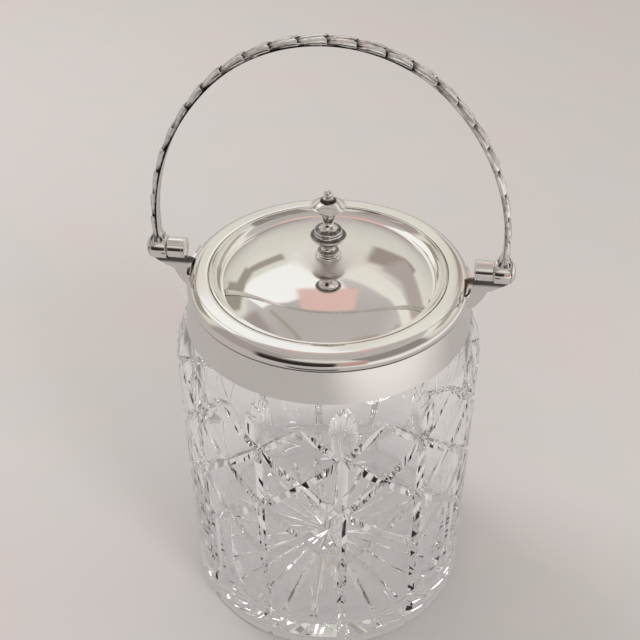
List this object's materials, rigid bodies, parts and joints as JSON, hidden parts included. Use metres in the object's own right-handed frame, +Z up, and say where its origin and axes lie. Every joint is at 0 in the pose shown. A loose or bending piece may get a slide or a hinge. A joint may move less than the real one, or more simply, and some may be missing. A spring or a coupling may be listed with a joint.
{
  "type": "biscuit jar",
  "caption": "Cylindrical cut-glass biscuit jar with a silver collar, a domed lift-off lid with a turned finial, and an arched swing handle chased with overlapping leaves.",
  "frame": {"origin": "middle of the jar's foot, on the surface it stands on", "axes": "+Z up along the jar's axis, X along the handle's pivot line, front view from -Y"},
  "size_m": [0.1406, 0.121, 0.2475],
  "materials": {
    "cut_glass": "clear, polished cuts",
    "silver": "polished silver",
    "silver_chased": "chased silver, tarnished in the recesses",
    "cement": "plaster"
  },
  "bodies": {
    "jar": {"glass_jar": "cut_glass", "cement_ring": "cement", "collar_mount": "silver", "neck_bezel": "silver", "left_bracket_plate": "silver", "right_bracket_plate": "silver", "left_bracket_web": "silver", "right_bracket_web": "silver", "left_fixed_knuckle": "silver", "right_fixed_knuckle": "silver", "left_pivot_pin": "silver", "right_pivot_pin": "silver"},
    "lid": {"lid_plate": "silver", "lid_skirt": "silver", "finial": "silver", "finial_stud": "silver", "finial_washer": "silver", "finial_nut": "silver"},
    "handle": {"handle_strap": "silver_chased", "left_handle_knuckle": "silver", "right_handle_knuckle": "silver"}
  },
  "joints": [
    {"name": "handle_swing", "type": "hinge", "parent": "jar", "child": "handle", "pos_m": [0, 0, 0.15952], "axis": [1, 0, 0], "range_deg": [-130, 130]},
    {"name": "lid_lift", "type": "slide", "parent": "jar", "child": "lid", "axis": [0, 0, 1], "range_m": [0, 0.05]}
  ]
}
